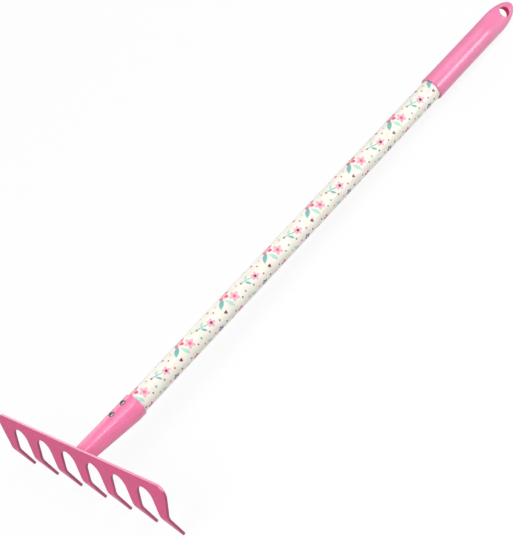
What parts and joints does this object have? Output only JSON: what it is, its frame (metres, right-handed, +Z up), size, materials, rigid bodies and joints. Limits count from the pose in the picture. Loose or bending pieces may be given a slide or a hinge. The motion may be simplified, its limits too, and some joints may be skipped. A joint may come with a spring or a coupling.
{
  "type": "sand rake",
  "caption": "Child's sand rake: a stamped steel head with bent tines on a welded tapered socket, a film-covered wooden handle and a moulded grip with a hanging hole.",
  "frame": {"origin": "on the ground, under the middle of the bounding box of the rake as it lies with its tines down", "axes": "+X across the head, +Y from the head to the grip, +Z up"},
  "size_m": [0.2536, 0.6428, 0.0617],
  "materials": {
    "head_paint": "smooth powder coat",
    "socket_paint": "gloss powder coat",
    "weld_paint": "gloss powder coat over a weld",
    "pole_wood": "planed",
    "print_film": "satin printed film",
    "screw_metal": "nickel plate",
    "grip_plastic": "glossy"
  },
  "bodies": {
    "root": {"rake_head": "head_paint", "socket": "socket_paint", "weld_bead": "weld_paint", "pole": "pole_wood", "print_sleeve": "print_film", "upper_screw": "screw_metal", "lower_screw": "screw_metal", "grip": "grip_plastic"}
  },
  "joints": []
}
